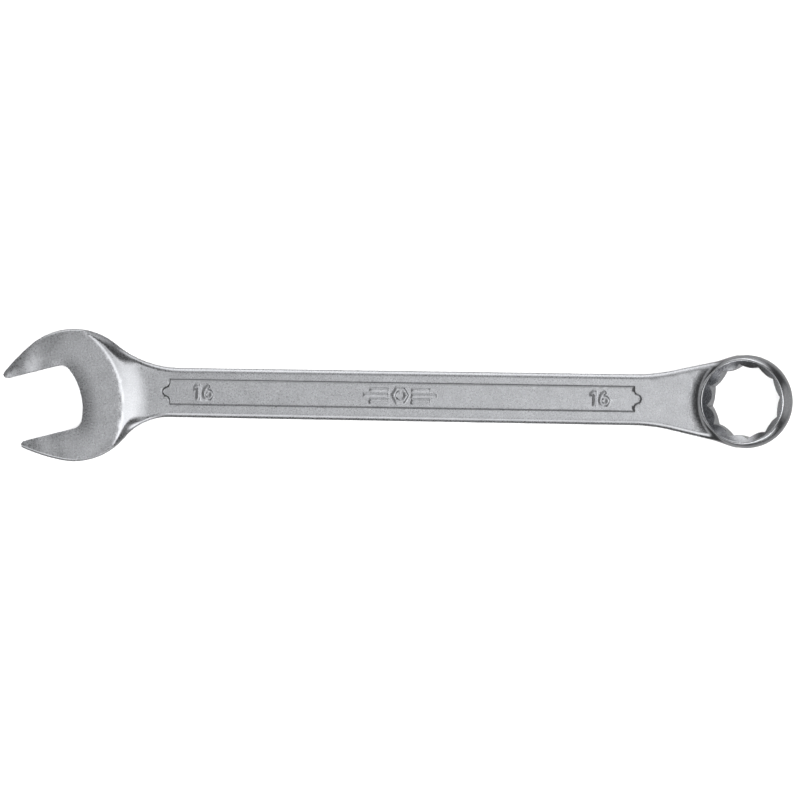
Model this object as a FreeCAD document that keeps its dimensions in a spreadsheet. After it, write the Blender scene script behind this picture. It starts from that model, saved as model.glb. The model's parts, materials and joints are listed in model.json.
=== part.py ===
import FreeCAD, Part
import math
import os
import re
from collections import namedtuple

import Sketcher
from FreeCAD import Placement, Rotation, Vector

# Combination wrench, 16 mm across flats, drop forged in one piece.
# X runs along the shank from the open end to the ring end, Y across it,
# and Z up through the marked face.  Before the final placement Z = 0 is the
# parting plane of the forging, at half the thickness of the shank.

DRIVING_SIZES = {
    # the fastener that the tool fits
    "across_flats": 16.0,
    "jaw_clearance": 0.1,
    "jaw_chamfer": 0.2,
    "bore_clearance": 0.04,
    # open end
    "head_x": -81.24,
    "head_y": -1.03,
    "jaw_angle": 15.0,
    "head_radius": 16.5,
    "head_thickness": 8.0,
    "horn_radius": 50.0,
    "nose_reach": 25.14,
    "tip_reach": 15.7,
    "tip_radius": 1.0,
    "tip_exit": 53.0,
    "throat_depth": 1.87,
    "throat_radius": 16.0,
    "throat_corner": 2.7,
    "face_offset": 10.6,
    "face_radius": 22.6,
    "cove_width": 6.4,
    # shank
    "neck_radius_upper": 25.0,
    "neck_radius_lower": 14.0,
    "width_open_end": 12.3,
    "width_ring_end": 12.7,
    "shank_thickness": 6.0,
    "draft_angle": 7.0,
    "shank_rounding": 1.2,
    "head_rounding": 0.5,
    "flare_start": 58.0,
    "flare_radius": 43.8,
    "flare_depth": 5.6,
    "flare_inset": 0.3,
    "under_start": 61.0,
    "under_bend": 30.0,
    "under_slope": 8.0,
    "under_margin": 0.4,
    "edge_overlap": 5.0,
    # ring end
    "ring_x": 86.15,
    "ring_z": 2.0,
    "ring_tilt": 15.0,
    "ring_thickness": 9.0,
    "rim_radius": 10.6,
    "barrel_radius": 11.6,
    "lead_in_radius": 10.2,
    "lead_in_angle": 58.0,
    "lobe_radius": 5.0,
    "lobe_phase": 7.3,
    "collar_radius": 14.2,
    "collar_rise": 0.35,
    "rim_rounding": 0.25,
    # marked panel
    "panel_offset": 0.2,
    "panel_width": 6.2,
    "panel_left": -57.3,
    "panel_right": 58.2,
    "panel_depth": 0.3,
    "brace_reach": 1.75,
    "brace_tip": 1.1,
    "brace_shoulder": 1.3,
    "mark_height": 3.8,
    "mark_relief": 0.25,
    "mark_stroke": 0.7,
    "one_x": -1.4,
    "six_x": 1.0,
    "six_bowl": 1.3,
    "six_stem": 2.9,
    "six_end": 120.0,
    "nut_radius": 2.1,
    "nut_hole": 1.1,
    "bar_start": 3.0,
    "bar_height": 0.7,
    "bar_pitch": 1.3,
    "long_bar": 6.0,
    "short_bar": 4.4,
    "numeral_left": -48.8,
    "numeral_right": 49.8,
}

doc = FreeCAD.newDocument("combination_wrench")
sheet = doc.addObject("Spreadsheet::Sheet", "Sizes")
for row, (alias, number) in enumerate(DRIVING_SIZES.items(), start=1):
    sheet.set(f"A{row}", alias)
    sheet.set(f"B{row}", str(number))
    sheet.setAlias(f"B{row}", alias)
doc.recompute()


def size(alias):
    """A driving size as a plain number."""
    return float(sheet.get(alias))


def in_sheet(text):
    """The same expression with the sheet's name before each of its aliases."""

    def qualified(word):
        return f"Sizes.{word[0]}" if word[0] in DRIVING_SIZES else word[0]

    return re.sub(r"[a-z]\w+", qualified, text)


def bind(item, prop, text):
    item.setExpression(prop, in_sheet(text))


def value_of(text):
    """What an expression of the driving sizes comes to."""
    return float(sheet.evalExpression(in_sheet(text)))


def polar(centre, radius, degrees):
    turn = math.radians(degrees)
    return (centre[0] + radius * math.cos(turn), centre[1] + radius * math.sin(turn))


def toward(start, end, distance):
    """The point at a distance from start on the way to end."""
    share = distance / math.dist(start, end)
    return tuple(a + share * (b - a) for a, b in zip(start, end))


Edge = namedtuple("Edge", "index start end")
ORIGIN_POINT = (-1, 1)
X_AXIS = -1
Y_AXIS = -2
CENTRE = 3


class Profile:
    """A sketch of chained lines and arcs whose sizes are bound to the sheet."""

    def __init__(self, body, name, role, shift=None, turn=None, turn_axis=(0, 0, 1)):
        self.sketch = body.newObject("Sketcher::SketchObject", name)
        planes = {item.Role: item for item in body.Origin.OriginFeatures}
        self.sketch.AttachmentSupport = [(planes[role], "")]
        self.sketch.MapMode = "FlatFace"
        for axis, text in (shift or {}).items():
            bind(self.sketch, f".AttachmentOffset.Base.{axis}", text)
        if turn:
            self.sketch.AttachmentOffset = Placement(Vector(), Rotation(Vector(*turn_axis), 1))
            bind(self.sketch, ".AttachmentOffset.Rotation.Angle", turn)

    def line(self, start, end, construction=False):
        shape = Part.LineSegment(Vector(*start, 0), Vector(*end, 0))
        return Edge(self.sketch.addGeometry(shape, construction), 1, 2)

    def arc(self, centre, start, end, clockwise=False):
        first, last = (end, start) if clockwise else (start, end)
        circle = Part.Circle(Vector(*centre, 0), Vector(0, 0, 1), math.dist(centre, start))
        angles = [math.atan2(p[1] - centre[1], p[0] - centre[0]) for p in (first, last)]
        index = self.sketch.addGeometry(Part.ArcOfCircle(circle, *angles), False)
        return Edge(index, 2, 1) if clockwise else Edge(index, 1, 2)

    def circle(self, centre, radius, construction=False):
        shape = Part.Circle(Vector(*centre, 0), Vector(0, 0, 1), radius)
        return Edge(self.sketch.addGeometry(shape, construction), 0, 0)

    def rule(self, kind, *where):
        self.sketch.addConstraint(Sketcher.Constraint(kind, *where))

    def join(self, *edges, smooth=False):
        """Join each edge's end to the next one's start, tangentially where asked."""
        kind = "Tangent" if smooth else "Coincident"
        for one, other in zip(edges, edges[1:]):
            self.rule(kind, one.index, one.end, other.index, other.start)

    def bound(self, kind, name, text, *where):
        """A dimension that follows an expression of the sheet's cells."""
        number = value_of(text)
        if kind == "Angle":
            number = math.radians(number)
        index = self.sketch.addConstraint(Sketcher.Constraint(kind, *where, number))
        self.sketch.renameConstraint(index, name)
        bind(self.sketch, f"Constraints.{name}", text)

    def place(self, name, across, along, *point):
        """Hold a point at a distance across (x) and along (y) from the sketch's origin."""
        self.bound("DistanceX", name + "_x", across, *ORIGIN_POINT, *point)
        self.bound("DistanceY", name + "_y", along, *ORIGIN_POINT, *point)


def add_blank(body):
    """The forged outline, drafted both ways from the parting plane."""
    head = (size("head_x"), size("head_y"))
    radius = size("head_radius")
    horn = size("horn_radius")
    nose_reach = size("nose_reach")
    jaw = size("jaw_angle")
    half_open = size("width_open_end") / 2
    half_ring = size("width_ring_end") / 2
    ring = (size("ring_x"), 0.0)
    barrel = size("barrel_radius") - size("flare_inset")
    flare = size("flare_radius")
    bend_x = size("flare_start")

    profile = Profile(body, "BlankOutline", "XY_Plane")
    nose = polar(head, nose_reach, jaw + 180)
    # the horn circle touches the head circle from outside and passes through the nose
    inset = horn - radius
    along = (horn**2 - inset**2 - nose_reach**2) / (2 * nose_reach)
    horn_turn = math.degrees(math.acos(along / inset))

    def neck_centre(side, neck_radius):
        rise = side * (half_open + neck_radius) - head[1]
        run = math.sqrt((radius + neck_radius) ** 2 - rise**2)
        return (head[0] + run, side * (half_open + neck_radius))

    def flare_end(side):
        # the straight of the flare touches both the flare circle and the barrel circle
        centre = (bend_x, side * (half_ring + flare))
        gap = math.dist(centre, ring)
        lean = math.degrees(math.acos((flare + barrel) / gap))
        sight = math.degrees(math.atan2(ring[1] - centre[1], ring[0] - centre[0]))
        turn = sight - side * lean
        return centre, polar(centre, flare, turn), polar(ring, barrel, turn + 180)

    upper, lower = 1, -1
    necks = {upper: size("neck_radius_upper"), lower: size("neck_radius_lower")}
    chain = {}
    for side in (upper, lower):
        # every side is drawn from the ring towards the nose
        clockwise = side == lower
        flare_centre, bend, touch = flare_end(side)
        neck = neck_centre(side, necks[side])
        shank_start = (bend_x, side * half_ring)
        shank_end = (neck[0], side * half_open)
        head_start = toward(head, neck, radius)
        horn_centre = polar(head, inset, jaw - side * horn_turn)
        horn_start = toward(horn_centre, head, horn)
        chain[side] = [
            profile.line(touch, bend),
            profile.arc(flare_centre, bend, shank_start, not clockwise),
            profile.line(shank_start, shank_end),
            profile.arc(neck, shank_end, head_start, not clockwise),
            profile.arc(head, head_start, horn_start, clockwise),
            profile.arc(horn_centre, horn_start, nose, clockwise),
        ]
        profile.join(*chain[side], smooth=True)
    end = profile.line(flare_end(lower)[2], flare_end(upper)[2])
    axis = profile.line(nose, head, construction=True)
    barrel_circle = profile.circle(ring, barrel, construction=True)

    top, bottom = chain[upper], chain[lower]
    profile.rule("Coincident", top[-1].index, top[-1].end, bottom[-1].index, bottom[-1].end)
    profile.rule("Coincident", top[-1].index, top[-1].end, axis.index, axis.start)
    profile.rule("Coincident", axis.index, axis.end, top[4].index, CENTRE)
    profile.rule("Coincident", bottom[4].index, CENTRE, top[4].index, CENTRE)
    profile.rule("Coincident", end.index, end.start, bottom[0].index, bottom[0].start)
    profile.rule("Coincident", end.index, end.end, top[0].index, top[0].start)
    for line in (top[0], bottom[0]):
        profile.rule("Tangent", line.index, line.start, barrel_circle.index)
    for one, other in ((top[5], bottom[5]), (top[4], bottom[4]), (top[1], bottom[1])):
        profile.rule("Equal", one.index, other.index)
    profile.place("head", "head_x", "head_y", top[4].index, CENTRE)
    profile.place("ring", "ring_x", "0 * ring_x", barrel_circle.index, CENTRE)
    profile.bound("Radius", "barrel", "barrel_radius - flare_inset", barrel_circle.index)
    profile.bound("Radius", "head", "head_radius", top[4].index)
    profile.bound("Radius", "horn", "horn_radius", top[5].index)
    profile.bound("Radius", "flare", "flare_radius", top[1].index)
    profile.bound("Radius", "neck_upper", "neck_radius_upper", top[3].index)
    profile.bound("Radius", "neck_lower", "neck_radius_lower", bottom[3].index)
    profile.bound("Distance", "nose", "nose_reach", axis.index)
    profile.bound("Angle", "jaw", "jaw_angle", axis.index)
    for side, sign in ((top, ""), (bottom, "-")):
        shank = side[2]
        name = "upper" if side is top else "lower"
        profile.place(name, "flare_start", sign + "width_ring_end / 2", shank.index, shank.start)
        profile.bound("DistanceY", name + "_open", sign + "width_open_end / 2",
                      *ORIGIN_POINT, shank.index, shank.end)

    for name, length, side in (("Upper", "head_thickness / 2", 1), ("Lower", "flare_depth", -1)):
        pad = body.newObject("PartDesign::Pad", name + "Blank")
        pad.Profile = profile.sketch
        pad.Reversed = side < 0
        pad.Refine = False
        bind(pad, "Length", length)
    for name, side in (("Upper", 1), ("Lower", -1)):
        add_draft(body, name + "Draft", side)


def middle(shape):
    """A point in the middle of an edge, or the normal in the middle of a face."""
    if shape.ShapeType == "Edge":
        return shape.valueAt((shape.FirstParameter + shape.LastParameter) / 2)
    low_u, high_u, low_v, high_v = shape.ParameterRange
    return shape.normalAt((low_u + high_u) / 2, (low_v + high_v) / 2)


def add_draft(body, name, side):
    """Slope the walls above or below the parting plane, so that the forging leaves its die."""
    doc.recompute()
    base = body.Tip
    end_x = size("ring_x") - size("barrel_radius") / 4
    walls = [
        f"Face{number}"
        for number, face in enumerate(base.Shape.Faces, start=1)
        if abs(middle(face).z) < 0.05
        and face.CenterOfMass.z * side > 0
        and face.CenterOfMass.x < end_x
    ]
    planes = {item.Role: item for item in body.Origin.OriginFeatures}
    draft = body.newObject("PartDesign::Draft", name)
    draft.Base = (base, walls)
    draft.NeutralPlane = (planes["XY_Plane"], [""])
    draft.Reversed = side < 0
    bind(draft, "Angle", "draft_angle")


FACE_CENTRE_X = "head_x - face_offset * cos(jaw_angle * 1deg)"
FACE_CENTRE_Y = "head_y - face_offset * sin(jaw_angle * 1deg)"
RELIEF_END = f"flare_start - edge_overlap / 2 - ({FACE_CENTRE_X})"


def add_face_relief(body, name, side):
    """Bring the shank below the head's flat face, with a cove that follows the face's arc."""
    upper = side > 0
    sign = "" if upper else "-"
    face = size("face_radius")
    head_half = side * size("head_thickness") / 2
    shank_half = side * size("shank_thickness") / 2
    step = abs(head_half - shank_half)
    width = size("cove_width")
    cove_radius = (width**2 + step**2) / (2 * step)
    far = value_of(RELIEF_END)
    clear = 2 * head_half

    shift = {"x": FACE_CENTRE_X, "z": f"-({FACE_CENTRE_Y})"}
    profile = Profile(body, name + "Outline", "XZ_Plane", shift)
    lip = (face, head_half)
    foot = (face + width, shank_half)
    cove_centre = (foot[0], foot[1] + side * cove_radius)
    cove = profile.arc(cove_centre, lip, foot, clockwise=not upper)
    floor = profile.line(foot, (far, shank_half))
    wall = profile.line((far, shank_half), (far, clear))
    lid_start = face if upper else 0.0
    lid = profile.line((far, clear), (lid_start, clear))
    if upper:
        back = profile.line((face, clear), lip)
        edges = [cove, floor, wall, lid, back]
    else:
        # the underside of the head is brought to its own level as well
        back = profile.line((0.0, clear), (0.0, head_half))
        face_line = profile.line((0.0, head_half), lip)
        edges = [cove, floor, wall, lid, back, face_line]
        profile.rule("Horizontal", face_line.index)
        profile.rule("PointOnObject", face_line.index, face_line.start, Y_AXIS)
    profile.join(*edges[1:], edges[0])
    profile.join(cove, floor, smooth=True)
    profile.rule("Horizontal", floor.index)
    profile.rule("Vertical", wall.index)
    profile.rule("Horizontal", lid.index)
    profile.rule("Vertical", back.index)
    profile.place("lip", "face_radius", sign + "head_thickness / 2", cove.index, cove.start)
    profile.place("foot", "face_radius + cove_width", sign + "shank_thickness / 2",
                  cove.index, cove.end)
    profile.place("far", RELIEF_END, sign + "head_thickness",
                  wall.index, wall.end)
    return add_turned(body, name, profile, "Groove")


def add_collar(body):
    """Level the top of the flare and raise it in a curved collar around the ring."""
    half = size("shank_thickness") / 2
    radius = size("collar_radius")
    rise = size("collar_rise")
    run = size("collar_radius") - size("barrel_radius")
    bend = (run**2 + rise**2) / (2 * rise)
    reach = size("ring_x") - size("flare_start") + size("edge_overlap")
    clear = size("head_thickness")

    profile = Profile(body, "CollarOutline", "XZ_Plane", {"x": "ring_x"})
    outer, inner = (radius, half), (radius - run, half + rise)
    level = profile.line((reach, half), outer)
    curve = profile.arc((radius, half + bend), outer, inner, clockwise=True)
    plateau = profile.line(inner, (0.0, half + rise))
    axis = profile.line((0.0, half + rise), (0.0, clear))
    lid = profile.line((0.0, clear), (reach, clear))
    wall = profile.line((reach, clear), (reach, half))
    profile.join(curve, plateau, axis, lid, wall, level)
    profile.join(level, curve, smooth=True)
    profile.rule("Horizontal", level.index)
    profile.rule("Horizontal", plateau.index)
    profile.rule("Vertical", wall.index)
    profile.rule("Horizontal", lid.index)
    profile.rule("PointOnObject", axis.index, axis.start, Y_AXIS)
    profile.rule("PointOnObject", axis.index, axis.end, Y_AXIS)
    profile.place("outer", "collar_radius", "shank_thickness / 2", level.index, level.end)
    profile.place("inner", "barrel_radius", "shank_thickness / 2 + collar_rise",
                  curve.index, curve.end)
    profile.place("wall", "ring_x - flare_start + edge_overlap", "head_thickness",
                  wall.index, wall.start)
    return add_turned(body, "Collar", profile, "Groove")


def add_flare_underside(body):
    """Deepen the shank's underside from its own level down to the ring's lower rim."""
    half = size("shank_thickness") / 2
    start = size("under_start")
    bend = size("under_bend")
    slope = size("under_slope")
    tilt = math.tan(math.radians(size("ring_tilt")))
    depth = size("ring_thickness") / 2 - size("under_margin")
    ring = (size("ring_x"), size("ring_z"))
    clear = -size("head_thickness") * 1.5

    def back_plane(x):
        return ring[1] - depth / math.cos(math.radians(size("ring_tilt"))) + (x - ring[0]) * tilt

    bend_end = (start + bend * math.sin(math.radians(slope)),
                -half - bend * (1 - math.cos(math.radians(slope))))
    fall = math.tan(math.radians(slope))
    corner_x = (bend_end[1] + fall * bend_end[0] - back_plane(0.0)) / (fall + tilt)
    corner = (corner_x, back_plane(corner_x))
    before = start - size("edge_overlap") * 2
    end_x = ring[0] + size("barrel_radius")

    profile = Profile(body, "UndersideOutline", "XZ_Plane")
    level = profile.line((before, -half), (start, -half))
    curve = profile.arc((start, -half - bend), (start, -half), bend_end, clockwise=True)
    descent = profile.line(bend_end, corner)
    ascent = profile.line(corner, (end_x, back_plane(end_x)))
    wall = profile.line((end_x, back_plane(end_x)), (end_x, clear))
    lid = profile.line((end_x, clear), (before, clear))
    back = profile.line((before, clear), (before, -half))
    # the ring's back plane, moved towards the ring's middle by the margin
    normal = profile.line(ring, polar(ring, depth, size("ring_tilt") - 90), construction=True)
    profile.join(descent, ascent, wall, lid, back, level)
    profile.join(level, curve, descent, smooth=True)
    profile.rule("Horizontal", level.index)
    profile.rule("Vertical", wall.index)
    profile.rule("Horizontal", lid.index)
    profile.rule("Vertical", back.index)
    profile.place("ring", "ring_x", "ring_z", normal.index, normal.start)
    profile.bound("Distance", "depth", "ring_thickness / 2 - under_margin", normal.index)
    profile.bound("Angle", "normal", "ring_tilt - 90", normal.index)
    profile.rule("Perpendicular", normal.index, ascent.index)
    profile.rule("PointOnObject", normal.index, normal.end, ascent.index)
    profile.place("start", "under_start", "-shank_thickness / 2", level.index, level.end)
    profile.bound("DistanceX", "before", "under_start - 2 * edge_overlap",
                  *ORIGIN_POINT, back.index, back.end)
    profile.bound("Radius", "bend", "under_bend", curve.index)
    profile.bound("Angle", "slope", "-under_slope", descent.index)
    profile.place("floor", "ring_x + barrel_radius", "-1.5 * head_thickness", wall.index, wall.end)
    return add_through_pocket(body, "Underside", profile)


def add_jaw(body):
    """Machine the open jaw: two parallel flats, a rounded throat and rounded tips."""
    half = (size("across_flats") + size("jaw_clearance")) / 2
    depth = size("throat_depth")
    throat = size("throat_radius")
    corner = size("throat_corner")
    tip = size("tip_radius")
    reach = size("tip_reach")
    nose = size("nose_reach") + size("edge_overlap")

    shift = {"x": "head_x", "y": "head_y"}
    profile = Profile(body, "JawOutline", "XY_Plane", shift, "jaw_angle")
    throat_centre = (depth - throat, 0.0)
    corner_y = half - corner
    corner_x = throat_centre[0] + math.sqrt((throat - corner) ** 2 - corner_y**2)
    tip_x = tip - reach
    tip_y = half + tip
    sides = {}
    for side in (1, -1):
        lower = side < 0
        corner_centre = (corner_x, side * corner_y)
        corner_end = toward(throat_centre, corner_centre, throat)
        flat_start = (corner_x, side * half)
        flat_end = (tip_x, side * half)
        tip_centre = (tip_x, side * tip_y)
        leave_angle = side * (180 - size("tip_exit"))
        tip_end = polar(tip_centre, tip, leave_angle)
        exit_end = polar(tip_centre, 2 * tip, leave_angle)
        sides[side] = [
            profile.arc(corner_centre, corner_end, flat_start, clockwise=lower),
            profile.line(flat_start, flat_end),
            profile.arc(tip_centre, flat_end, tip_end, clockwise=not lower),
            profile.line(tip_end, exit_end),
            profile.line(exit_end, (-nose, exit_end[1])),
        ]
        profile.join(*sides[side][:3], smooth=True)
        profile.join(*sides[side][3:])
    top, bottom = sides[1], sides[-1]
    throat_arc = profile.arc(throat_centre, toward(throat_centre, (corner_x, -corner_y), throat),
                             toward(throat_centre, (corner_x, corner_y), throat))
    mouth = profile.line((-nose, exit_end[1]), (-nose, -exit_end[1]))
    profile.join(throat_arc, top[0], smooth=True)
    profile.rule("Tangent", throat_arc.index, throat_arc.start, bottom[0].index, bottom[0].start)
    profile.rule("Coincident", top[-1].index, top[-1].end, mouth.index, mouth.end)
    profile.rule("Coincident", bottom[-1].index, bottom[-1].end, mouth.index, mouth.start)
    profile.rule("Vertical", mouth.index)
    profile.rule("PointOnObject", throat_arc.index, CENTRE, X_AXIS)
    profile.bound("Radius", "throat", "throat_radius", throat_arc.index)
    profile.bound("DistanceX", "throat_centre", "throat_depth - throat_radius",
                  *ORIGIN_POINT, throat_arc.index, CENTRE)
    profile.bound("DistanceX", "mouth", "-nose_reach - edge_overlap",
                  *ORIGIN_POINT, mouth.index, mouth.end)
    for name, side, sign in (("upper", top, ""), ("lower", bottom, "-")):
        fillet, flat, tip_arc, leave, outer = side
        profile.rule("Horizontal", flat.index)
        profile.rule("Horizontal", outer.index)
        profile.rule("Perpendicular", tip_arc.index, tip_arc.end, leave.index, leave.start)
        profile.bound("Radius", name + "_corner", "throat_corner", fillet.index)
        profile.bound("Radius", name + "_tip", "tip_radius", tip_arc.index)
        profile.bound("Distance", name + "_leave", "tip_radius", leave.index)
        profile.bound("Angle", name + "_exit", f"{sign}(180 - tip_exit)", leave.index)
        profile.bound("DistanceY", name + "_flat", f"{sign}(across_flats + jaw_clearance) / 2",
                      *ORIGIN_POINT, flat.index, flat.start)
        profile.bound("DistanceX", name + "_reach", "tip_radius - tip_reach",
                      *ORIGIN_POINT, tip_arc.index, CENTRE)
    return add_through_pocket(body, "Jaw", profile)


def add_through_pocket(body, name, profile):
    """Cut the profile right through the body, both ways from its sketch."""
    pocket = body.newObject("PartDesign::Pocket", name)
    pocket.Profile = profile.sketch
    pocket.Type = "ThroughAll"
    pocket.Midplane = True
    return pocket


def add_turned(body, name, profile, kind):
    """Turn the profile about the upright axis of its sketch."""
    turned = body.newObject("PartDesign::" + kind, name)
    turned.Profile = profile.sketch
    turned.ReferenceAxis = (profile.sketch, ["V_Axis"])
    turned.Angle = 360
    return turned


RING_SHIFT = {"x": "ring_x", "y": "ring_z"}


def add_ring(body):
    """The barrel-shaped ring, solid as forged, on its tilted axis."""
    rim = size("rim_radius")
    half = size("ring_thickness") / 2
    bulge = size("barrel_radius") - rim
    wall = (half**2 + bulge**2) / (2 * bulge)
    centre_x = size("barrel_radius") - wall

    profile = Profile(body, "RingOutline", "XZ_Plane", RING_SHIFT, "ring_tilt")
    lower = profile.line((0.0, -half), (rim, -half))
    barrel = profile.arc((centre_x, 0.0), (rim, -half), (rim, half))
    upper = profile.line((rim, half), (0.0, half))
    axis = profile.line((0.0, half), (0.0, -half))
    profile.join(lower, barrel, upper, axis, lower)
    profile.rule("Horizontal", lower.index)
    profile.rule("Horizontal", upper.index)
    profile.rule("PointOnObject", axis.index, axis.start, Y_AXIS)
    profile.rule("PointOnObject", axis.index, axis.end, Y_AXIS)
    profile.rule("PointOnObject", barrel.index, CENTRE, X_AXIS)
    profile.place("rim", "rim_radius", "ring_thickness / 2", barrel.index, barrel.end)
    profile.bound("DistanceX", "rim_below", "rim_radius", *ORIGIN_POINT,
                  barrel.index, barrel.start)
    profile.bound("Radius", "wall",
                  "((ring_thickness / 2) ^ 2 + (barrel_radius - rim_radius) ^ 2)"
                  " / (2 * (barrel_radius - rim_radius))", barrel.index)
    return add_turned(body, "Ring", profile, "Revolution")


def add_lead_in(body, name, side):
    """The cone that guides a nut into the ring from one face."""
    sign = "" if side > 0 else "-"
    face = side * size("ring_thickness") / 2
    radius = size("lead_in_radius")
    drop = radius * math.tan(math.radians(size("lead_in_angle")))
    clear = 2 * face

    profile = Profile(body, name + "Outline", "XZ_Plane", RING_SHIFT, "ring_tilt")
    cone = profile.line((radius, face), (0.0, face - side * drop))
    axis = profile.line((0.0, face - side * drop), (0.0, clear))
    lid = profile.line((0.0, clear), (radius, clear))
    wall = profile.line((radius, clear), (radius, face))
    profile.join(cone, axis, lid, wall, cone)
    profile.rule("PointOnObject", axis.index, axis.start, Y_AXIS)
    profile.rule("PointOnObject", axis.index, axis.end, Y_AXIS)
    profile.rule("Horizontal", lid.index)
    profile.rule("Vertical", wall.index)
    profile.place("edge", "lead_in_radius", sign + "ring_thickness / 2", cone.index, cone.start)
    profile.bound("DistanceY", "apex",
                  f"{sign}(ring_thickness / 2 - lead_in_radius * tan(lead_in_angle * 1deg))",
                  *ORIGIN_POINT, cone.index, cone.end)
    profile.bound("DistanceY", "lid", sign + "ring_thickness", *ORIGIN_POINT, lid.index, lid.end)
    return add_turned(body, name, profile, "Groove")


def add_bore(body):
    """Twelve lobes that bear on a hexagon's flats, with a groove for each corner."""
    points = 12
    step = 360 / points
    lobe = size("lobe_radius")
    flats = (size("across_flats") + size("bore_clearance")) / 2
    # a lobe's circle touches the flat beside it, half a step round from the lobe's middle
    lean = math.radians(step / 2)
    out = (flats + lobe) / math.cos(lean)
    groove = out * math.cos(lean) - math.sqrt(lobe**2 - (out * math.sin(lean)) ** 2)
    shift = {"x": "ring_x", "z": "ring_z"}
    profile = Profile(body, "BoreOutline", "XY_Plane", shift, "ring_tilt", (0, -1, 0))
    phase = size("lobe_phase")
    corners = [polar((0, 0), groove, phase + step * k) for k in range(points)]
    lobes = []
    chords = []
    for k, (corner, following) in enumerate(zip(corners, corners[1:] + corners[:1])):
        centre = polar((0, 0), out, phase + step * (k + 0.5))
        lobes.append(profile.arc(centre, corner, following, clockwise=True))
        chords.append(profile.line(corner, following, construction=True))
    round_groove = profile.circle((0, 0), groove, construction=True)
    profile.join(*lobes, lobes[0])
    for one, chord in zip(lobes, chords):
        profile.rule("Coincident", chord.index, chord.start, one.index, one.start)
        profile.rule("PointOnObject", one.index, one.start, round_groove.index)
    for one, other in zip(chords, chords[1:]):
        profile.rule("Coincident", one.index, one.end, other.index, other.start)
        profile.rule("Equal", one.index, other.index)
    for one, other in zip(lobes, lobes[1:]):
        profile.rule("Equal", one.index, other.index)
    profile.rule("Coincident", round_groove.index, CENTRE, *ORIGIN_POINT)
    profile.rule("Coincident", chords[-1].index, chords[-1].end, chords[0].index, chords[0].start)
    profile.bound("Radius", "lobe", "lobe_radius", lobes[0].index)
    out_text = "(across_flats + bore_clearance + 2 * lobe_radius) / 2"
    profile.bound("Radius", "groove",
                  f"{out_text} - sqrt(lobe_radius ^ 2 - ({out_text} * tan(15deg)) ^ 2)",
                  round_groove.index)
    start_line = profile.line((0.0, 0.0), corners[0], construction=True)
    profile.rule("Coincident", start_line.index, start_line.start, *ORIGIN_POINT)
    profile.rule("Coincident", start_line.index, start_line.end, lobes[0].index, lobes[0].start)
    profile.bound("Angle", "phase", "lobe_phase", start_line.index)
    return add_through_pocket(body, "Bore", profile)


def edge_names(shape, wanted):
    return [f"Edge{number}" for number, edge in enumerate(shape.Edges, start=1) if wanted(edge)]


def add_rounding(body, name, radius, wanted, kind="Fillet"):
    """Round (or chamfer) the edges of the body as it stands that pass the test."""
    doc.recompute()
    base = body.Tip
    rounding = body.newObject("PartDesign::" + kind, name)
    rounding.Base = (base, edge_names(base.Shape, wanted))
    bind(rounding, "Radius" if kind == "Fillet" else "Size", radius)
    return rounding


def round_forging(body):
    """Round the long edges of the shank, which run on up the cove, then the head's edges."""
    fine = 1e-3
    half_shank = size("shank_thickness") / 2
    half_head = size("head_thickness") / 2
    long_edge = size("flare_start")

    def along_shank(edge):
        return edge.Length > long_edge and abs(abs(middle(edge).z) - half_shank) < fine

    def round_head(edge):
        levels = (edge.BoundBox.ZMin, edge.BoundBox.ZMax)
        return all(abs(abs(level) - half_head) < fine for level in levels)

    add_rounding(body, "ShankRounding", "shank_rounding", along_shank)
    add_rounding(body, "HeadRounding", "head_rounding", round_head)


def ring_radius(point):
    """How far a point lies from the ring's tilted axis, and how far along that axis."""
    tilt = math.radians(size("ring_tilt"))
    axis = Vector(-math.sin(tilt), 0, math.cos(tilt))
    arm = point - Vector(size("ring_x"), 0, size("ring_z"))
    height = arm.dot(axis)
    return (arm - axis * height).Length, height


def round_ring(body):
    """Round the ring's rims, outside at the barrel and inside at the lead-in cones."""
    fine = 1e-3
    half = size("ring_thickness") / 2
    radii = (size("rim_radius"), size("lead_in_radius"))

    def on_rim(edge):
        radius, height = ring_radius(middle(edge))
        on_face = abs(abs(height) - half) < fine
        return on_face and min(abs(radius - r) for r in radii) < fine

    add_rounding(body, "RimRounding", "rim_rounding", on_rim)


def break_jaw_edges(body):
    """A small chamfer where the machined jaw meets the head's two faces."""
    fine = 1e-3
    half_head = size("head_thickness") / 2
    doc.recompute()
    walls = [face for face in body.Tip.Shape.Faces if abs(middle(face).z) < fine]
    wall_edges = [edge for face in walls for edge in face.Edges]

    def on_jaw(edge):
        levels = (edge.BoundBox.ZMin, edge.BoundBox.ZMax)
        on_face = all(abs(abs(level) - half_head) < fine for level in levels)
        return on_face and any(edge.isSame(other) for other in wall_edges)

    add_rounding(body, "JawChamfer", "jaw_chamfer", on_jaw, "Chamfer")


def add_pocket(body, name, profile, depth):
    pocket = body.newObject("PartDesign::Pocket", name)
    pocket.Profile = profile.sketch
    bind(pocket, "Length", depth)
    return pocket


def add_pad(body, name, profile, height):
    pad = body.newObject("PartDesign::Pad", name)
    pad.Profile = profile.sketch
    bind(pad, "Length", height)
    return pad


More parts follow.
